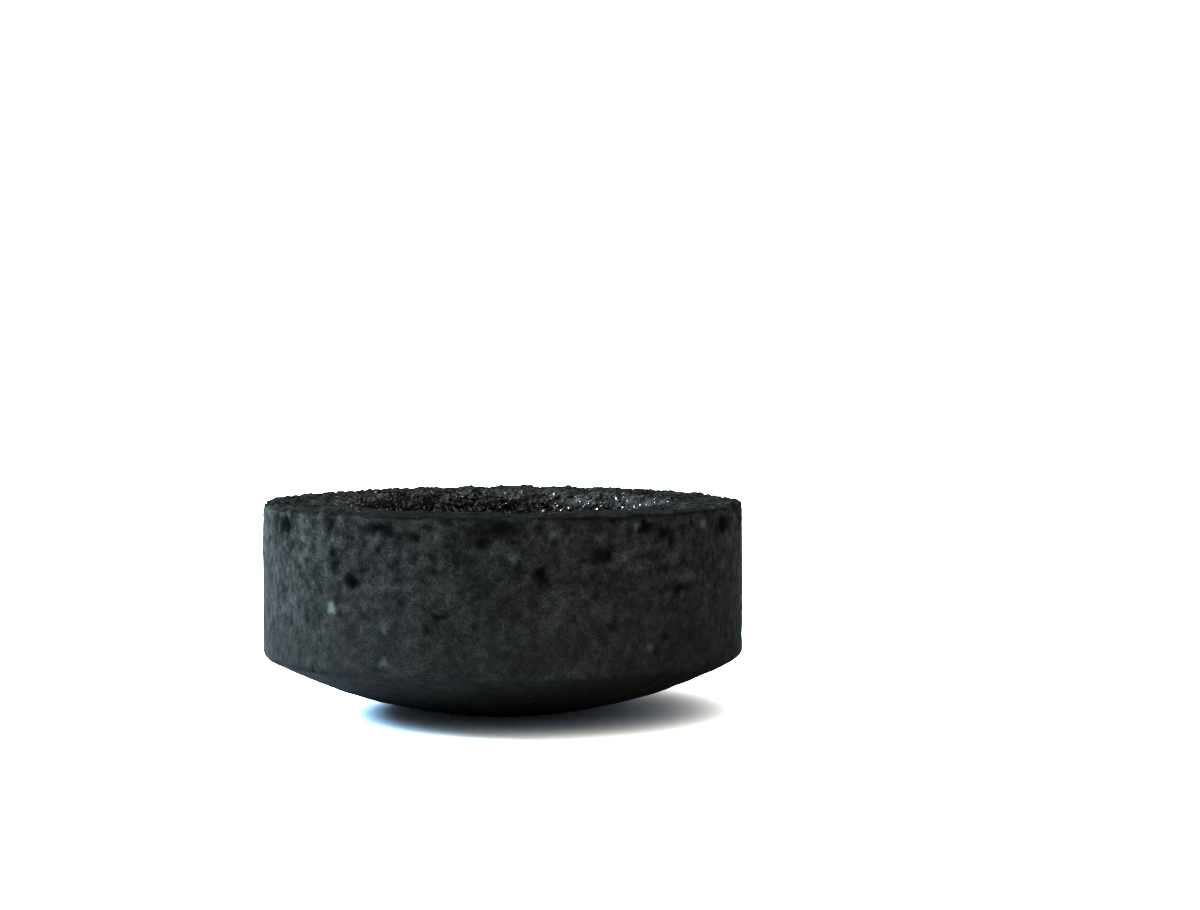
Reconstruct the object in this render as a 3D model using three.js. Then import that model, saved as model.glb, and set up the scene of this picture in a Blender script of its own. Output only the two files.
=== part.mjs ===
// A pressed charcoal tablet for burning incense, in millimetres, +Z up.
// It is one solid: a short round cylinder with a domed underside and a round dish pressed into its top.
// The origin is the middle of the small flat spot that it rests on.
import * as THREE from "three";
import { ImprovedNoise } from "three/addons/math/ImprovedNoise.js";
import { mergeVertices } from "three/addons/utils/BufferGeometryUtils.js";

// Driving dimensions
const RADIUS = 20;
const DOME_HEIGHT = 4.8;
const WALL_HEIGHT = 12.7;
const FOOT_RADIUS = 5; // the flat spot under the dome
const DISH_RADIUS = 13.1;
const DISH_DEPTH = 2.8; // at the foot of the dish's wall
const DISH_SAG = 0.4; // how much lower the middle of the dish lies
const DISH_WALL_RUN = 1; // how far the dish's wall leans in on its way down
const LOW_EDGE_ROUND = 0.35;
const TOP_EDGE_ROUND = 0.3;
const LIP_ROUND = 0.8;
const DISH_FOOT_ROUND = 1.2;

// Faceting: the rows are short where the surface is rough or rounded
const SEGMENTS = 128;
const ROUGH_ROW = 1.25;
const SMOOTH_ROW = 2.2;
const ROWS_PER_ROUND = 2;

// Crumbly relief of the pressed grains, and chips along the edges
const GRAIN_SIZE = 2.4;
const FACE_RELIEF = 0.14;
const WALL_RELIEF = 0.06;
const CRUMBLE_SIZE = 1.7;
const CRUMBLE_DEPTH = 0.35;
const CRUMBLE_REACH = 1.1;
const RELIEF_FADE = 6; // the relief grows from nothing over this distance from the flat spot
const CHIP_SEED = 11;
const TOP_CHIPS = { count: 9, width: [1.2, 2.4], depth: [0.15, 0.7] };
const LIP_CHIPS = { count: 6, width: [0.9, 1.8], depth: [0.1, 0.45] };
const LOW_CHIPS = { count: 6, width: [1.0, 2.0], depth: [0.1, 0.4] };

const CHARCOAL = { color: 0x2a2c2d, roughness: 0.92, metalness: 0 };

const TOP = DOME_HEIGHT + WALL_HEIGHT;
const DISH_FOOT_RADIUS = DISH_RADIUS - DISH_WALL_RUN;
const DISH_FLOOR = TOP - DISH_DEPTH;

const noise = new ImprovedNoise();
const { smoothstep, lerp, seededRandom } = THREE.MathUtils;

// Half of the tablet's outline, from the flat spot up the wall, over the rim and down to the middle of the dish.
function outline() {
  const domeCentre = (RADIUS ** 2 + DOME_HEIGHT ** 2 - FOOT_RADIUS ** 2) / (2 * DOME_HEIGHT);
  const domeRadius = Math.hypot(FOOT_RADIUS, domeCentre);
  const footAngle = Math.asin(FOOT_RADIUS / domeRadius);
  const edgeAngle = Math.asin(RADIUS / domeRadius) - LOW_EDGE_ROUND / domeRadius;
  const down = -Math.PI / 2;
  const wallStep = LIP_ROUND / Math.hypot(DISH_DEPTH, DISH_WALL_RUN);
  const footStep = 1 - DISH_FOOT_ROUND / Math.hypot(DISH_DEPTH, DISH_WALL_RUN);

  const path = new THREE.Path();
  path.moveTo(0, 0);
  path.lineTo(FOOT_RADIUS, 0);
  path.absarc(0, domeCentre, domeRadius, down + footAngle, down + edgeAngle, false);
  path.quadraticCurveTo(RADIUS, DOME_HEIGHT, RADIUS, DOME_HEIGHT + LOW_EDGE_ROUND);
  path.lineTo(RADIUS, TOP - TOP_EDGE_ROUND);
  path.quadraticCurveTo(RADIUS, TOP, RADIUS - TOP_EDGE_ROUND, TOP);
  path.lineTo(DISH_RADIUS + LIP_ROUND, TOP);
  path.quadraticCurveTo(
    DISH_RADIUS, TOP, DISH_RADIUS - DISH_WALL_RUN * wallStep, TOP - DISH_DEPTH * wallStep);
  path.lineTo(DISH_RADIUS - DISH_WALL_RUN * footStep, TOP - DISH_DEPTH * footStep);
  path.quadraticCurveTo(
    DISH_FOOT_RADIUS, DISH_FLOOR, DISH_FOOT_RADIUS - DISH_FOOT_ROUND, DISH_FLOOR - DISH_SAG / 4);
  path.quadraticCurveTo(DISH_FOOT_RADIUS / 2, DISH_FLOOR - DISH_SAG, 0, DISH_FLOOR - DISH_SAG);
  return path;
}

// The number of rows along one stretch of the outline. The flat spot, which is the first, is a single fan.
function rowsAlong(curve, index) {
  const length = curve.getLength();
  if (index === 0) return 1;
  if (curve.isLineCurve) return Math.ceil(length / ROUGH_ROW);
  return length < SMOOTH_ROW ? ROWS_PER_ROUND : Math.ceil(length / SMOOTH_ROW);
}

function outlinePoints() {
  const stretches = outline().curves.filter((curve) => curve.getLength() > 0);
  const points = stretches.flatMap((curve, i) => curve.getSpacedPoints(rowsAlong(curve, i)).slice(1));
  points.at(-1).x = 0;
  return [new THREE.Vector2(0, 0), ...points];
}

// A closed surface of revolution about Z, with its seam and its two poles merged.
function turnedBody() {
  const lathe = new THREE.LatheGeometry(outlinePoints(), SEGMENTS);
  lathe.rotateX(Math.PI / 2);
  lathe.deleteAttribute("normal");
  lathe.deleteAttribute("uv");
  const body = mergeVertices(lathe, 1e-4);
  const corners = body.index.array;
  const kept = [];
  for (let i = 0; i < corners.length; i += 3) {
    const [a, b, c] = corners.slice(i, i + 3);
    if (a !== b && b !== c && c !== a) kept.push(a, b, c);
  }
  body.setIndex(kept);
  body.computeVertexNormals();
  return body;
}

// Chips at seeded places around an edge circle. Each pushes the edge in along a direction in the outline's plane.
function chipsAround(edge, { count, width, depth }) {
  return Array.from({ length: count }, (_, i) => {
    const angle = ((i + 0.8 * seededRandom()) / count) * 2 * Math.PI;
    const bite = new THREE.Vector3(edge.push.x * Math.cos(angle), edge.push.x * Math.sin(angle), edge.push.y);
    return {
      centre: new THREE.Vector3(edge.r * Math.cos(angle), edge.r * Math.sin(angle), edge.z),
      width: lerp(...width, seededRandom()),
      bite: bite.multiplyScalar(lerp(...depth, seededRandom() ** 2)),
    };
  });
}

// How far a point of the smooth body lies from an edge circle.
function edgeDistance(point, edge) {
  return Math.hypot(Math.hypot(point.x, point.y) - edge.r, point.z - edge.z);
}

// The height of the grain relief along the surface normal, in and out of the smooth body.
function grainRelief(point, normal) {
  const fromFoot = Math.hypot(point.x, point.y) - FOOT_RADIUS;
  const fade = point.z < DOME_HEIGHT ? smoothstep(fromFoot, 0, RELIEF_FADE) : 1;
  const height = lerp(WALL_RELIEF, FACE_RELIEF, smoothstep(normal.z, 0.2, 0.8));
  const grain = noise.noise(point.x / GRAIN_SIZE, point.y / GRAIN_SIZE, point.z / GRAIN_SIZE);
  return fade * height * grain;
}

// How deep the crumbled edge lies under the smooth one.
function crumble(point, edges) {
  const near = Math.max(...edges.map((edge) => 1 - edgeDistance(point, edge) / CRUMBLE_REACH), 0);
  const loss = noise.noise(point.x / CRUMBLE_SIZE, point.y / CRUMBLE_SIZE, point.z / CRUMBLE_SIZE + 50);
  return near * CRUMBLE_DEPTH * Math.max(0, loss);
}

function charcoalTablet() {
  const diagonal = Math.SQRT1_2;
  const topEdge = { r: RADIUS, z: TOP, push: new THREE.Vector2(-diagonal, -diagonal) };
  const lip = { r: DISH_RADIUS, z: TOP, push: new THREE.Vector2(diagonal, -diagonal) };
  const lowEdge = { r: RADIUS, z: DOME_HEIGHT, push: new THREE.Vector2(-diagonal, diagonal) };
  seededRandom(CHIP_SEED);
  const chips = [
    ...chipsAround(topEdge, TOP_CHIPS),
    ...chipsAround(lip, LIP_CHIPS),
    ...chipsAround(lowEdge, LOW_CHIPS),
  ];

  const body = turnedBody();
  const position = body.getAttribute("position");
  const normals = body.getAttribute("normal");
  const point = new THREE.Vector3();
  const normal = new THREE.Vector3();
  for (let i = 0; i < position.count; i++) {
    point.fromBufferAttribute(position, i);
    normal.fromBufferAttribute(normals, i);
    const moved = point.clone();
    moved.addScaledVector(normal, grainRelief(point, normal) - crumble(point, [topEdge, lip]));
    for (const { centre, width, bite } of chips) {
      moved.addScaledVector(bite, 1 - smoothstep(point.distanceTo(centre), 0.3 * width, width));
    }
    position.setXYZ(i, moved.x, moved.y, moved.z);
  }
  body.computeVertexNormals();
  return body;
}

const tablet = new THREE.Mesh(charcoalTablet(), new THREE.MeshStandardMaterial(CHARCOAL));
tablet.name = "charcoal_tablet";

const part = new THREE.Group();
part.add(tablet);

export default part;
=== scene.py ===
# A pressed charcoal tablet with a gritty surface, on a plain white floor in soft daylight.
# Lengths are in metres, unless a name or a comment says millimetres.
import math

import bmesh
import bpy
import numpy as np
from mathutils import Euler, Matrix, Vector, kdtree, noise


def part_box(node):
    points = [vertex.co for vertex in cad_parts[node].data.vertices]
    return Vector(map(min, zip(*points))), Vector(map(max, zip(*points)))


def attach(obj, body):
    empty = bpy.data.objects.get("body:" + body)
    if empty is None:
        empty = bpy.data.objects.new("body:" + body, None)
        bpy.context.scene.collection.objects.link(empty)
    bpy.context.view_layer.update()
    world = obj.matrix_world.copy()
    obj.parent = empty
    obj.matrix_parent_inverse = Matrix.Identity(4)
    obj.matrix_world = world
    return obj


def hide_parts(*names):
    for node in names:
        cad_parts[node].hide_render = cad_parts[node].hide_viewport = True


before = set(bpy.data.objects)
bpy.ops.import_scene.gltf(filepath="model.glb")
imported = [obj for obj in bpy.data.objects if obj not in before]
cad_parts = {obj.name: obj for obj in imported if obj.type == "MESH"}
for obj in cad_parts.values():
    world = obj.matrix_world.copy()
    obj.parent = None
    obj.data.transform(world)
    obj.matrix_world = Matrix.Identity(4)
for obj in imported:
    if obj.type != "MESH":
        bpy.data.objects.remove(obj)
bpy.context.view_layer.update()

NODE = "charcoal_tablet"
MM = 0.001
SEED = 7
NOISE_TURN = (0.4, 0.7, 0.2)  # turns the noise, so that its grid doesn't show on faces along the axes

# The camera, as it stood for the photograph: its place in front of the tablet's axis, and its view
CAMERA_DISTANCE = 0.255
CAMERA_HEIGHT = 0.0348
CAMERA_SIDE = 0.0081
CAMERA_PITCH_DEG = 3.036
CAMERA_NEAR = 0.01
FRAME_WIDTH_PX = 1200
FOCAL_LENGTH_PX = 3058
SENSOR_WIDTH_MM = 36
DISPLAY_GAMMA = 0.667  # below 1 for the photograph's deep blacks and clear whites

# The floor
FLOOR_SIZE = 6
FLOOR_COLOUR = (0.9, 0.9, 0.9)
FLOOR_ROUGHNESS = 0.9
FLOOR_SPECULAR = 0.1

# The sky's colour overhead and low down, and its brightness at the horizon, in a dim belt and overhead
SKY_COLOUR = (1.0, 0.96, 0.89)
SKY_LOW_COLOUR = (0.72, 0.90, 1.12)
SKY_HORIZON = 3.2
SKY_BELT = 0.7
SKY_TOP = 3.1
# The bounds of the belt, as sines of the angle above the horizon
SKY_FALL = (0.09, 0.14)
SKY_RISE = (0.25, 0.5)

# Soft lights: place, size of the square, power in watts and colour
KEY = {"place": (-0.36, 0.075, 0.31), "size": 0.30, "power": 40.0, "colour": (0.47, 0.73, 1.0)}
FILL = {"place": (0.45, -0.15, 0.10), "size": 0.30, "power": 0.3, "colour": (1.0, 0.85, 0.68)}
SPARK = {"place": (-0.37, 0.16, 0.27), "size": 0.13, "power": 5.5, "colour": (1.0, 0.98, 0.95)}

# The fine mesh
WELD_DISTANCE = 0.01 * MM
VOXEL = 0.00024
FOOT_BLEND = 0.0006  # the relief grows from nothing over this height above the flat spot
FACETED_FROM = 0.7  # a face that is this broken, or more, is shaded as a flat facet

# The top is what faces up or towards the axis. Each pair bounds a share of the normal.
UP_FACING = (0.3, 0.8)
INWARD_FACING = (0.2, 0.7)
LEVEL_FACING = (0.6, 0.9)
PRESSED_BELOW = 0.2  # what belongs less than this to the top is the pressed wall or dome

# Grains: facets at seeded places, with cracks between them. Broken faces have more relief than pressed ones.
GRAIN_SPACING = 0.0005
GRAIN_HEIGHT = {"broken": 0.00008, "pressed": 0.00001}
GRAIN_TILT = {"broken": 0.3, "pressed": 0.03}
CRACK_DEPTH = {"broken": 0.00009, "pressed": 0.00001}
CRACK_WIDTH = 0.00022
JITTER = {"broken": 0.00004, "pressed": 0.0}

# Clumps and lumps: slow and quick swells of the surface
CLUMP_SIZE = 0.0016
CLUMP_HEIGHT = {"broken": 0.00018, "pressed": 0.00004}
LUMP_SIZE = 0.0007
LUMP_HEIGHT = {"broken": 0.00004, "pressed": 0.00002}

# Crumbled edges
CRUMBLE_REACH = 0.0009
CRUMBLE_SIZE = 0.0011
CRUMBLE_DEPTH = 0.00034
CRUMBLE_BASE = 0.3  # added to the noise, so that more than half of the edge has crumbled
DISH_RADIUS = 0.0131
RIM_BROKEN = 0.8  # how broken the rim is, where the dish is 1
RIM_INNER_EDGE = (DISH_RADIUS, 0.0142)  # between these radii the dish's grit fades to the rim's
LIP_DEPTH = (0.0009, 0.0015)  # between these depths under the top the dish's lip turns to its wall
WORN_TURN = (25, 70)  # degrees from the front where the rim turns from worn smooth to broken
WORN_SWAY = 20  # how many degrees those bounds wander
WORN_SWAY_SIZE = 0.0035
WORN_LOSS = 0.6  # the share of the grit that is worn off

# Spots of the wall that can be told apart: degrees round from the front, height and radius in mm, strength
PLACED_PITS = [
    (-61, 12.8, 0.3, 0.5), (-49, 12.0, 0.4, 0.5), (-40, 14.4, 0.6, 0.9), (-40, 13.1, 0.6, 0.9),
    (-34, 12.1, 0.6, 1.0), (-18, 15.8, 0.4, 0.8), (-13, 9.8, 0.5, 0.6), (-3, 15.5, 0.4, 1.0),
    (10, 16.7, 0.5, 1.0), (10, 13.1, 0.5, 0.9), (26, 14.4, 0.5, 1.0), (36, 16.6, 0.5, 1.0),
    (44, 15.4, 0.5, 0.9), (57, 12.4, 0.4, 0.7), (-59, 16.3, 0.9, 1.0), (64, 16.2, 0.9, 1.0),
]
PLACED_FLECKS = [
    (-41, 10.0, 0.6, 0.38), (-26, 8.7, 0.5, 0.25), (-26, 6.0, 0.5, 0.25), (4, 14.4, 0.5, 0.3),
    (13, 16.1, 0.4, 0.3), (33, 16.7, 0.4, 0.35), (55, 16.4, 0.5, 0.35), (37, 6.9, 0.35, 0.25),
]
# Large dark patches of the wall: degrees round from the front, height, half width and half height in mm
PLACED_PATCHES = [
    (-59, 16.3, 2.1, 0.8), (-41, 16.6, 0.8, 0.7), (-39, 13.7, 0.8, 0.7), (-35, 12.3, 0.7, 0.6),
    (-27, 16.5, 1.6, 0.6), (-18, 15.8, 0.7, 0.5), (-12, 9.8, 0.7, 0.4), (-3, 15.4, 0.7, 0.6),
    (2, 16.6, 2.5, 0.8), (10, 13.0, 0.6, 0.7), (24, 14.4, 1.0, 0.8), (36, 16.5, 0.8, 0.6),
    (42, 15.9, 1.0, 0.6), (46, 11.5, 1.6, 0.4), (64, 16.2, 2.4, 0.7),
]
# Seeded spots on all the pressed faces
PIT_COUNT = 400
PIT_RADIUS = (0.00015, 0.00050)
PIT_STRENGTH = (0.3, 1.0)
FLECK_COUNT = 70
FLECK_RADIUS = (0.00010, 0.00028)
FLECK_STRENGTH = (0.08, 0.3)
SMALL_SPOT_POWER = 3  # the higher it is, the more of the seeded spots are small
# Seeded patches round the sides and back
PATCH_COUNT = 24
PATCH_TURN = (75, 285)
PATCH_TOP_MM = 17
PATCH_DROP_MM = 9
PATCH_HALF_WIDTH_MM = (0.5, 1.6)
PATCH_HALF_HEIGHT_MM = (0.4, 0.8)
# The form of all the spots and patches
SPOT_SOFTNESS = (0.1, 1.3)  # a spot fades between these shares of its radius
PATCH_SOFTNESS = (0.2, 1.4)
PIT_DEPTH_SHARE = 0.3  # of its radius
PATCH_DEPTH = 0.00003
FLECK_HEIGHT = 0.00003
WARP_SIZE = 0.0005  # the noise that bends their outlines
WARP_REACH = 0.00036

# Charcoal: its colour, and the colour and share of the grains that glint
CHARCOAL = (0.0131, 0.0117, 0.0097)
PALE_GRAIN = (0.075, 0.080, 0.070)
GLINT = (0.05, 0.05, 0.05)
GLINT_SHARE = 0.45
RIM_GLINTS = 0.03  # the share of glints where the dish's wall is 1
LIP_GLINTS = 0.5
FLOOR_GLINTS = 0.2
MATTE_ROUGHNESS = 0.9
GLINT_ROUGHNESS = 0.15
SPECULAR = 0.02

# The tone of each face, where the wall is 1. It holds painted light and shade as well as the faces' own
# tone.
# The rim is darker than the wall partly from its broken grains and partly as painted shade of those grains.
RIM_TONE_AND_SHADE = 0.72
# Painted shade: the rim's front stretch, where its grit is worn off, is made darker still.
FRONT_RIM_SHADE = 0.36
# Painted light: the rim's inside and the dish's lip are made paler, for light falling on the lip.
LIP_PAINTED_LIGHT = 1.5
# The dish is darker partly from its broken grains and partly as painted shade in its hollow.
DISH_TONE_AND_SHADE = 0.65
# Painted shade: the dome is made darker, as in its own shadow, up to where it turns to the wall.
DOME_PAINTED_SHADE = 0.66
DOME_SHADE_EDGE = (0.0046, 0.0051)  # between these heights the dome turns to the wall

# The material's textures, by place in millimetres: scale and detail of each noise, and the cells' scale
BEND_NOISE = (1.8, 2.0)
BEND_REACH_MM = 0.5
CLOUD_NOISE = (0.35, 2.0)
MOTTLE_NOISE = (1.1, 4.0)
GRIT_NOISE = (9.0, 1.0)
NOISE_ROUGHNESS = 0.6
NOISE_SPAN = (0.3, 0.7)  # nearly all of a noise's values lie between these
GRAIN_CELLS = 2.8
SPECK_CELLS = 5.5

# What each texture makes of the tone at its low and high end, and each mark where it is strongest
CLOUD_TONE = (0.8, 1.2)
MOTTLE_TONE = (0.3, 1.75)
GRIT_TONE = (0.6, 1.4)
GRAIN_TONE = (0.9, 1.1)
# The pits are darker partly as the charcoal's own dark spots and partly as painted shade in their hollows.
PIT_TONE_AND_SHADE = 0.2
PATCH_TONE = 0.27
MOTTLE_STRENGTH = (0.4, 1.0)  # low and high on the wall
MOTTLE_HEIGHTS_MM = (6.0, 14.0)  # between these heights it grows

# How far the shading leans from grain to grain, on pressed and on broken faces, and its fine bumps
FACET_LEAN = (0.08, 0.35)
BUMP_STRENGTH = 0.5
BUMP_HEIGHT = 0.1 * MM
BUMP_GRIT_SHARE = 0.2


def smoothstep(low, high, value):
    t = np.clip((value - low) / (high - low), 0, 1)
    return t * t * (3 - 2 * t)


def between(low, high, share):
    return low + (high - low) * share


# Mesh and noise


def in_settled_order(mesh):
    """The same mesh with its points and faces sorted by place.

    The seeded draws pick points by number, so they don't hang on how the remesh numbers them.
    """
    points = np.empty(len(mesh.vertices) * 3, np.float32)
    corners = np.empty(len(mesh.loops), np.int32)
    mesh.vertices.foreach_get("co", points)
    mesh.loops.foreach_get("vertex_index", corners)
    points = points.reshape(-1, 3)
    order = np.lexsort(points.T)
    quads = np.argsort(order)[corners.reshape(-1, 4)]
    first = quads.argmin(1)[:, None]
    quads = np.take_along_axis(quads, (first + np.arange(4)) % 4, axis=1)
    quads = quads[np.lexsort(quads.T[::-1])]
    settled = bpy.data.meshes.new(mesh.name)
    settled.from_pydata(points[order].tolist(), [], quads.tolist())
    return settled


def fine_copy(node):
    """A closed copy of a CAD node's mesh with even, fine faces."""
    piece = bpy.data.objects.new("tablet_body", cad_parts[node].data.copy())
    bpy.context.scene.collection.objects.link(piece)
    work = bmesh.new()
    work.from_mesh(piece.data)
    bmesh.ops.remove_doubles(work, verts=work.verts, dist=WELD_DISTANCE)
    work.to_mesh(piece.data)
    work.free()
    remesh = piece.modifiers.new("fine", "REMESH")
    remesh.mode = "VOXEL"
    remesh.voxel_size = VOXEL
    depsgraph = bpy.context.evaluated_depsgraph_get()
    made = bpy.data.meshes.new_from_object(piece.evaluated_get(depsgraph))
    piece.modifiers.clear()
    piece.data = in_settled_order(made)
    piece.data.name = piece.name
    return piece


def mesh_arrays(mesh):
    """The places and normals of a mesh's points."""
    points = np.empty(len(mesh.vertices) * 3, np.float32)
    normals = np.empty_like(points)
    mesh.vertices.foreach_get("co", points)
    mesh.vertex_normals.foreach_get("vector", normals)
    return points.reshape(-1, 3).astype(float), normals.reshape(-1, 3).astype(float)


def noise_places(points, size):
    """Where the points lie in the turned noise, whose swells are of about this size."""
    turn = np.array(Euler(NOISE_TURN).to_matrix())
    return (points @ turn.T / size).tolist()


def noise_at(points, size):
    """Smooth noise from about -1 to 1, with swells of about this size."""
    return np.array([noise.noise(p) for p in noise_places(points, size)])


def warped(points):
    """The points, each moved by smooth noise."""
    moves = np.array([noise.noise_vector(p) for p in noise_places(points, WARP_SIZE)])
    return points + WARP_REACH * moves


def tree_of(points):
    tree = kdtree.KDTree(len(points))
    for i, p in enumerate(points.tolist()):
        tree.insert(p, i)
    tree.balance()
    return tree


# Faces of the tablet


def top_shares(points, normals, top):
    """For each point, how far it belongs to each part of the top.

    The parts are the whole top, the rim's inside, the dish under its lip, level faces and the worn front.
    """
    from_axis = np.linalg.norm(points[:, :2], axis=1)
    inward = -(points[:, :2] * normals[:, :2]).sum(1) / np.maximum(from_axis, MM)
    turn = np.abs(np.degrees(np.arctan2(points[:, 0], -points[:, 1])))
    turn += WORN_SWAY * noise_at(points, WORN_SWAY_SIZE)
    facing = np.maximum(smoothstep(*UP_FACING, normals[:, 2]), smoothstep(*INWARD_FACING, inward))
    inner = facing * (1 - smoothstep(*RIM_INNER_EDGE, from_axis))
    return {
        "top": facing,
        "inner": inner,
        "dish": inner * smoothstep(*LIP_DEPTH, top - points[:, 2]),
        "level": smoothstep(*LEVEL_FACING, normals[:, 2]),
        "worn": (1 - inner) * (1 - smoothstep(*WORN_TURN, turn)),
    }


def broken_share(shares):
    """1 in the dish, where the grains broke loose, less on the rim, and 0 on the pressed wall and dome."""
    rim = RIM_BROKEN * (1 - WORN_LOSS * shares["worn"])
    return shares["top"] * between(rim, 1, shares["inner"])


def glint_share(shares):
    """How many of the grains may glint: most on the dish's wall, and none on the pressed wall and dome."""
    rim = RIM_GLINTS * (1 - shares["worn"])
    dish = between(LIP_GLINTS, between(1, FLOOR_GLINTS, shares["level"]), shares["dish"])
    return shares["top"] * between(rim, dish, shares["inner"])


def face_tone_and_painted_light(points, shares):
    """How pale each face is beside the wall, with painted light and shade in it: a paler lip, a darker dome
    and front rim, and a rim and dish darkened partly by their broken grains and partly as painted shade.
    """
    rim = between(RIM_TONE_AND_SHADE, FRONT_RIM_SHADE, shares["worn"])
    top = between(between(rim, LIP_PAINTED_LIGHT, shares["inner"]), DISH_TONE_AND_SHADE, shares["dish"])
    side = between(DOME_PAINTED_SHADE, 1, smoothstep(*DOME_SHADE_EDGE, points[:, 2]))
    return between(side, top, shares["top"])


# Pits, flecks and patches


def placed_spots(rows, radius):
    """Centres, radii and strengths of the spots in a list, on the wall of that radius."""
    turn, height, size, strength = np.array(rows).T
    turn = np.radians(turn)
    centres = np.stack([radius * np.sin(turn), -radius * np.cos(turn), height * MM], axis=1)
    return centres, size * MM, strength


def scattered_spots(points, count, sizes, strengths, rng):
    """Centres, radii and strengths of seeded spots, most of them small."""
    centres = points[rng.choice(len(points), count, replace=False)]
    radii = between(*sizes, rng.random(count) ** SMALL_SPOT_POWER)
    return centres, radii, rng.uniform(*strengths, count)


def joined(*groups):
    return [np.concatenate(values) for values in zip(*groups)]


def spot_shares(tree, bent, spots):
    """For each point, how far it lies inside a spot, from 0 to 1, and the radius of that spot."""
    share = np.zeros(len(bent))
    size = np.zeros(len(bent))
    for centre, radius, strength in zip(*spots):
        found = tree.find_range(centre, SPOT_SOFTNESS[1] * radius + WARP_REACH)
        index = np.array([i for _, i, _ in found], int)
        away = np.linalg.norm(bent[index] - centre, axis=1)
        here = strength * (1 - smoothstep(*SPOT_SOFTNESS, away / radius))
        more = here > share[index]
        share[index[more]] = here[more]
        size[index[more]] = radius
    return share, size


def seeded_patches(rng):
    """Dark patches round the sides and back, most of them high on the wall."""
    turn = (rng.uniform(*PATCH_TURN, PATCH_COUNT) + 180) % 360 - 180
    height = PATCH_TOP_MM - PATCH_DROP_MM * rng.random(PATCH_COUNT) ** 2
    half_width = rng.uniform(*PATCH_HALF_WIDTH_MM, PATCH_COUNT)
    half_height = rng.uniform(*PATCH_HALF_HEIGHT_MM, PATCH_COUNT)
    return np.stack([turn, height, half_width, half_height], axis=1)


def patch_share(bent, rows, radius):
    """For each point, how far it lies inside a dark patch of the wall, from 0 to 1."""
    turn = np.arctan2(bent[:, 0], -bent[:, 1])
    share = np.zeros(len(bent))
    for place, height, half_width, half_height in rows:
        across = radius * (turn - np.radians(place)) / (half_width * MM)
        up = (bent[:, 2] - height * MM) / (half_height * MM)
        share = np.maximum(share, 1 - smoothstep(*PATCH_SOFTNESS, np.hypot(across, up)))
    return share


def surface_marks(points, shares, radius, rng):
    """For each point, how far it lies in a pit, a pale fleck and a dark patch, and the radius of its pit."""
    pressed = points[shares["top"] < PRESSED_BELOW]
    tree = tree_of(points)
    bent = warped(points)
    pits = joined(
        placed_spots(PLACED_PITS, radius),
        scattered_spots(pressed, PIT_COUNT, PIT_RADIUS, PIT_STRENGTH, rng))
    flecks = joined(
        placed_spots(PLACED_FLECKS, radius),
        scattered_spots(pressed, FLECK_COUNT, FLECK_RADIUS, FLECK_STRENGTH, rng))
    patches = np.concatenate([PLACED_PATCHES, seeded_patches(rng)])
    pit, pit_size = spot_shares(tree, bent, pits)
    fleck, _ = spot_shares(tree, bent, flecks)
    patch = patch_share(bent, patches, radius) * (1 - shares["top"])
    return {"pit": pit, "pit_size": pit_size, "fleck": fleck, "patch": patch}


# Relief


def mixed(levels, broken):
    return between(levels["pressed"], levels["broken"], broken)


def grain_relief(points, broken, rng):
    """Facets of the grains, each at its own height and tilt, and the cracks between them."""
    area_share = GRAIN_SPACING**2 / VOXEL**2
    centres = points[rng.choice(len(points), int(len(points) / area_share), replace=False)]
    level = rng.uniform(-1, 1, len(centres))
    lean = rng.normal(0, 1, (len(centres), 3))
    tree = tree_of(centres)
    nearest = [tree.find_n(p, 2) for p in points.tolist()]
    index = np.array([pair[0][1] for pair in nearest])
    near = np.array([pair[0][2] for pair in nearest])
    far = np.array([pair[1][2] for pair in nearest])
    inside = smoothstep(0, CRACK_WIDTH, far - near)
    tilt = ((points - centres[index]) * lean[index]).sum(1)
    facet = mixed(GRAIN_HEIGHT, broken) * level[index] + mixed(GRAIN_TILT, broken) * tilt
    return facet * inside - mixed(CRACK_DEPTH, broken) * (1 - inside)


def edge_crumble(points, top, radius):
    """How deep the grains have crumbled away along the outer edge and the dish's lip."""
    from_axis = np.linalg.norm(points[:, :2], axis=1)
    below = points[:, 2] - top
    near = np.zeros(len(points))
    for edge in (radius, DISH_RADIUS):
        near = np.maximum(near, 1 - np.hypot(from_axis - edge, below) / CRUMBLE_REACH)
    return CRUMBLE_DEPTH * near * np.maximum(0, CRUMBLE_BASE + noise_at(points, CRUMBLE_SIZE))


def relief(points, shares, broken, marks, high, rng):
    """How far each point moves along its normal. The high corner of the body's box gives its edge."""
    height = grain_relief(points, broken, rng)
    height += mixed(CLUMP_HEIGHT, broken) * noise_at(points, CLUMP_SIZE)
    height += mixed(LUMP_HEIGHT, broken) * noise_at(points, LUMP_SIZE)
    height += mixed(JITTER, broken) * rng.uniform(-1, 1, len(points))
    height -= edge_crumble(points, high.z, high.x) * (1 - WORN_LOSS * shares["worn"])
    pit_depth = PIT_DEPTH_SHARE * marks["pit_size"] * marks["pit"]
    height += FLECK_HEIGHT * marks["fleck"] - pit_depth - PATCH_DEPTH * marks["patch"]
    return height * smoothstep(0, FOOT_BLEND, points[:, 2])


def facet_broken_faces(mesh, broken):
    """Shades the broken faces as flat facets and the pressed ones smoothly."""
    corners = np.empty(len(mesh.loops), np.int32)
    mesh.loops.foreach_get("vertex_index", corners)
    starts = np.empty(len(mesh.polygons), np.int32)
    mesh.polygons.foreach_get("loop_start", starts)
    mesh.polygons.foreach_set("use_smooth", broken[corners[starts]] < FACETED_FROM)


def store(mesh, name, values):
    """Keeps a number for each point on the mesh, for the material to read."""
    mesh.attributes.new(name, "FLOAT", "POINT").data.foreach_set("value", values.astype(np.float32))


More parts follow.
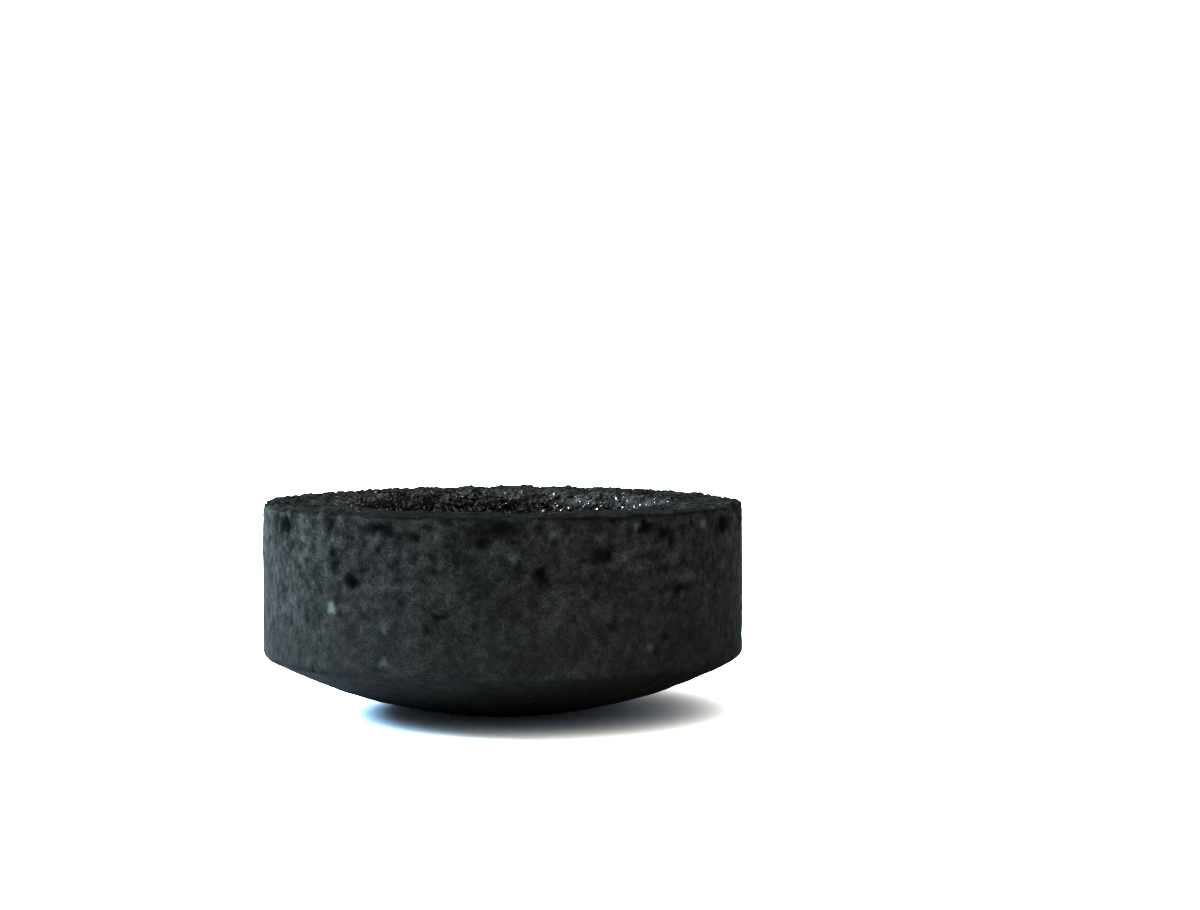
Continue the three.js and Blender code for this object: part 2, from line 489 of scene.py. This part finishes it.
def rough_body():
    """The tablet with its grains, cracks, pits and crumbled edges as real relief."""
    rng = np.random.default_rng(SEED)
    noise.seed_set(SEED)
    piece = fine_copy(NODE)
    points, normals = mesh_arrays(piece.data)
    low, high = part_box(NODE)
    shares = top_shares(points, normals, high.z)
    broken = broken_share(shares)
    marks = surface_marks(points, shares, high.x, rng)
    height = relief(points, shares, broken, marks, high, rng)
    moved = points + normals * height[:, None]
    moved[:, 2] = np.maximum(moved[:, 2], low.z)
    piece.data.vertices.foreach_set("co", moved.astype(np.float32).ravel())
    piece.data.update()

    facet_broken_faces(piece.data, broken)
    store(piece.data, "broken", broken)
    store(piece.data, "glints", glint_share(shares))
    # The tone attribute carries painted light and shade together with each face's own tone.
    store(piece.data, "tone_and_painted_light", face_tone_and_painted_light(points, shares))
    for name in ("pit", "fleck", "patch"):
        store(piece.data, name, marks[name])
    return piece


# Material


class Nodes:
    """Adds nodes to a shader tree. An input is a constant or another node's output."""

    def __init__(self, tree):
        self.tree = tree

    def put(self, socket, value):
        if isinstance(value, bpy.types.NodeSocket):
            self.tree.links.new(value, socket)
        else:
            socket.default_value = value

    def add(self, kind, inputs, **settings):
        node = self.tree.nodes.new("ShaderNode" + kind)
        for name, value in settings.items():
            setattr(node, name, value)
        for key, value in inputs.items():
            self.put(node.inputs[key], value)
        return node

    def math(self, operation, *values):
        return self.add("Math", dict(enumerate(values)), operation=operation).outputs[0]

    def product(self, *values):
        """The product of several values."""
        total = values[0]
        for value in values[1:]:
            total = self.math("MULTIPLY", total, value)
        return total

    def vector(self, operation, *values):
        return self.add("VectorMath", dict(enumerate(values)), operation=operation).outputs["Vector"]

    def scaled(self, vector, factor):
        return self.add("VectorMath", {0: vector, "Scale": factor}, operation="SCALE").outputs["Vector"]

    def centred(self, colour):
        """A random colour as a vector about zero."""
        return self.vector("SUBTRACT", colour, (0.5, 0.5, 0.5))

    def turned(self, vector, angles):
        inputs = {"Vector": vector, "Rotation": angles}
        return self.add("VectorRotate", inputs, rotation_type="EULER_XYZ").outputs["Vector"]

    def span(self, value, low, high, from_low=0.0, from_high=1.0):
        """A value carried from one span to another, and held at its ends."""
        inputs = {"Value": value, "From Min": from_low, "From Max": from_high, "To Min": low, "To Max": high}
        return self.add("MapRange", inputs).outputs[0]

    def mix(self, factor, first, second):
        return self.add("Mix", {0: factor, 2: first, 3: second}, data_type="FLOAT").outputs[0]

    def blend(self, factor, first, second):
        return self.add("Mix", {0: factor, 6: first, 7: second}, data_type="RGBA").outputs[2]

    def noise(self, place, scale, detail):
        inputs = {"Vector": place, "Scale": scale, "Detail": detail, "Roughness": NOISE_ROUGHNESS}
        return self.add("TexNoise", inputs)

    def cells(self, place, scale):
        """A random colour for each cell."""
        return self.add("TexVoronoi", {"Vector": place, "Scale": scale}).outputs["Color"]

    def channel(self, colour, index):
        return self.add("SeparateColor", {0: colour}).outputs[index]

    def attribute(self, name):
        return self.add("Attribute", {}, attribute_name=name).outputs["Fac"]


def opaque(colour):
    return (*colour, 1)


def charcoal_textures(nodes):
    """The height on the tablet in mm, and the noises and cells that the tone and the facets share."""
    here = nodes.scaled(nodes.add("TexCoord", {}).outputs["Object"], 1 / MM)
    place = nodes.turned(here, NOISE_TURN)
    bend = nodes.centred(nodes.noise(place, *BEND_NOISE).outputs["Color"])
    bent = nodes.vector("ADD", place, nodes.scaled(bend, BEND_REACH_MM))
    return {
        "height": nodes.add("SeparateXYZ", {0: here}).outputs["Z"],
        "clouds": nodes.noise(place, *CLOUD_NOISE).outputs["Fac"],
        "mottle": nodes.noise(bent, *MOTTLE_NOISE).outputs["Fac"],
        "grit": nodes.noise(place, *GRIT_NOISE).outputs["Fac"],
        "grains": nodes.cells(bent, GRAIN_CELLS),
        "specks": nodes.cells(bent, SPECK_CELLS),
    }


def charcoal_colour(nodes, textures):
    """Black with a tone that changes from cloud to cloud and grain to grain, painted light and shade from
    face to face, pits darkened partly as painted shade, and the pale flecks.
    """
    contrast = nodes.span(textures["height"], *MOTTLE_STRENGTH, *MOTTLE_HEIGHTS_MM)
    tone_and_painted_light = nodes.product(
        nodes.span(textures["clouds"], *CLOUD_TONE, *NOISE_SPAN),
        nodes.mix(contrast, 1.0, nodes.span(textures["mottle"], *MOTTLE_TONE, *NOISE_SPAN)),
        nodes.span(textures["grit"], *GRIT_TONE, *NOISE_SPAN),
        nodes.span(nodes.channel(textures["grains"], 0), *GRAIN_TONE),
        # Darker in the pits: partly dark spots, partly painted shade.
        nodes.span(nodes.attribute("pit"), 1.0, PIT_TONE_AND_SHADE),
        nodes.span(nodes.attribute("patch"), 1.0, PATCH_TONE),
        nodes.attribute("tone_and_painted_light"))
    return nodes.blend(nodes.attribute("fleck"), nodes.scaled(CHARCOAL, tone_and_painted_light), opaque(PALE_GRAIN))


def charcoal_normal(nodes, textures):
    """The normal, leaning another way on each grain, with fine bumps."""
    reach = nodes.span(nodes.attribute("broken"), *FACET_LEAN)
    leans = [nodes.centred(textures[name]) for name in ("grains", "specks")]
    lean = nodes.scaled(nodes.vector("ADD", *leans), reach)
    normal = nodes.add("NewGeometry", {}).outputs["Normal"]
    facet = nodes.vector("NORMALIZE", nodes.vector("ADD", normal, lean))
    grit = nodes.math("MULTIPLY", textures["grit"], BUMP_GRIT_SHARE)
    swell = nodes.math("ADD", textures["mottle"], grit)
    inputs = {"Strength": BUMP_STRENGTH, "Distance": BUMP_HEIGHT, "Height": swell, "Normal": facet}
    return nodes.add("Bump", inputs).outputs[0]


def charcoal_material():
    """Matte black grains, each with its own tone and facet, with a few that glint."""
    material = bpy.data.materials.new("charcoal")
    material.use_nodes = True
    nodes = Nodes(material.node_tree)
    shader = material.node_tree.nodes["Principled BSDF"]
    textures = charcoal_textures(nodes)
    rarity = nodes.span(nodes.attribute("glints"), 1.0, 1 - GLINT_SHARE)
    glint = nodes.math("GREATER_THAN", nodes.channel(textures["specks"], 1), rarity)
    colour = nodes.blend(glint, charcoal_colour(nodes, textures), opaque(GLINT))
    nodes.put(shader.inputs["Base Color"], colour)
    nodes.put(shader.inputs["Metallic"], glint)
    nodes.put(shader.inputs["Roughness"], nodes.span(glint, MATTE_ROUGHNESS, GLINT_ROUGHNESS))
    nodes.put(shader.inputs["Normal"], charcoal_normal(nodes, textures))
    shader.inputs["Specular IOR Level"].default_value = SPECULAR
    return material


# Stage, light and camera


def floor():
    bpy.ops.mesh.primitive_plane_add(size=FLOOR_SIZE)
    plane = bpy.context.object
    plane.name = "floor"
    paper = bpy.data.materials.new("white_paper")
    paper.use_nodes = True
    shader = paper.node_tree.nodes["Principled BSDF"]
    shader.inputs["Base Color"].default_value = opaque(FLOOR_COLOUR)
    shader.inputs["Roughness"].default_value = FLOOR_ROUGHNESS
    shader.inputs["Specular IOR Level"].default_value = FLOOR_SPECULAR
    plane.data.materials.append(paper)


def area_light(name, place, size, power, colour):
    """A square soft light that faces the tablet."""
    lamp = bpy.data.lights.new(name, "AREA")
    lamp.size = size
    lamp.energy = power
    lamp.color = colour
    light = bpy.data.objects.new(name, lamp)
    light.location = place
    light.rotation_euler = (-Vector(place)).to_track_quat("-Z", "Y").to_euler()
    bpy.context.scene.collection.objects.link(light)
    return light


def daylight():
    """A pale sky that is bright overhead and at the horizon, with a dim belt between."""
    world = bpy.data.worlds.new("daylight")
    world.use_nodes = True
    bpy.context.scene.world = world
    background = world.node_tree.nodes["Background"]
    nodes = Nodes(world.node_tree)
    axes = nodes.add("SeparateXYZ", {0: nodes.add("TexCoord", {}).outputs["Generated"]})
    low = nodes.span(axes.outputs["Z"], SKY_HORIZON, SKY_BELT, *SKY_FALL)
    overhead = nodes.span(axes.outputs["Z"], 0.0, 1.0, *SKY_RISE)
    colour = nodes.blend(overhead, opaque(SKY_LOW_COLOUR), opaque(SKY_COLOUR))
    nodes.put(background.inputs["Strength"], nodes.mix(overhead, low, SKY_TOP))
    nodes.put(background.inputs["Color"], colour)


def lights():
    """The sky and three lights. The wide key isn't mirrored, so the glints come from the small spark."""
    daylight()
    area_light("key", **KEY).visible_glossy = False
    area_light("fill", **FILL)
    area_light("spark", **SPARK)


def camera():
    lens = bpy.data.cameras.new("camera")
    lens.sensor_width = SENSOR_WIDTH_MM
    lens.lens = SENSOR_WIDTH_MM * FOCAL_LENGTH_PX / FRAME_WIDTH_PX
    lens.clip_start = CAMERA_NEAR
    body = bpy.data.objects.new("camera", lens)
    body.location = (CAMERA_SIDE, -CAMERA_DISTANCE, CAMERA_HEIGHT)
    body.rotation_euler = Euler((math.radians(90 - CAMERA_PITCH_DEG), 0, 0))
    bpy.context.scene.collection.objects.link(body)
    bpy.context.scene.camera = body
    view = bpy.context.scene.view_settings
    view.view_transform = "Standard"
    view.gamma = DISPLAY_GAMMA


def tablet():
    piece = rough_body()
    piece.data.materials.clear()
    piece.data.materials.append(charcoal_material())
    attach(piece, "root")
    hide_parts(NODE)


tablet()
floor()
lights()
camera()
